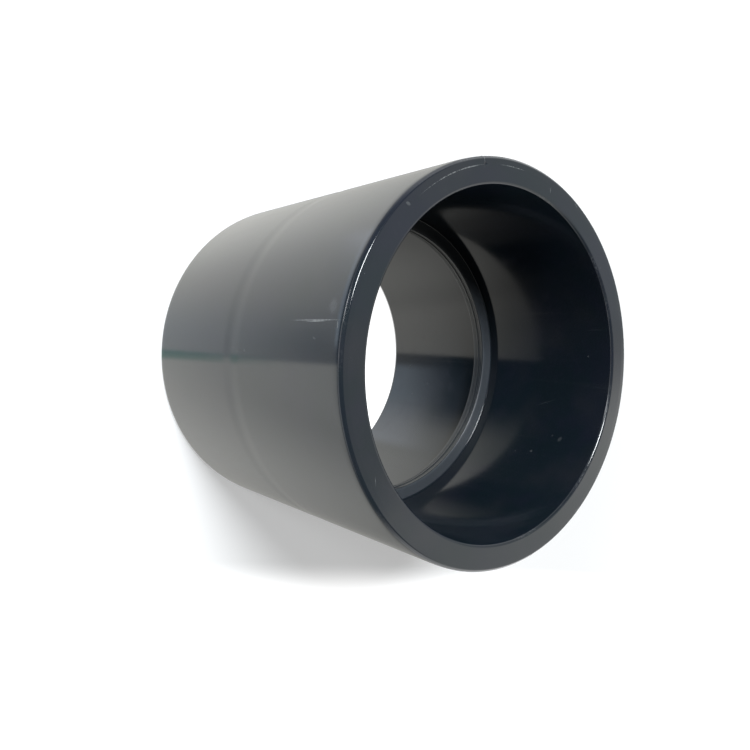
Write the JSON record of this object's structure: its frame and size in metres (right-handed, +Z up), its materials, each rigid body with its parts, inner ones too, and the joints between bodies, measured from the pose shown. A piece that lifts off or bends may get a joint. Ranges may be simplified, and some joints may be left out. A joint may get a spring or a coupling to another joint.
{
  "type": "plain pipe coupling",
  "caption": "Short thick-walled plastic tube with a cement socket at each end and a stop ring between them, joining plain pipe ends in line.",
  "frame": {"origin": "middle of the lower end face, where the coupling stands", "axes": "+Z up along the coupling's axis, from the lower mouth to the upper mouth; the two raised parting lines face +X and -X"},
  "size_m": [0.1856, 0.1854, 0.18],
  "materials": {
    "moulded_pvc": "glossy dark grey moulded plastic with light handling marks"
  },
  "bodies": {
    "root": {"coupling_body": "moulded_pvc"}
  },
  "joints": []
}
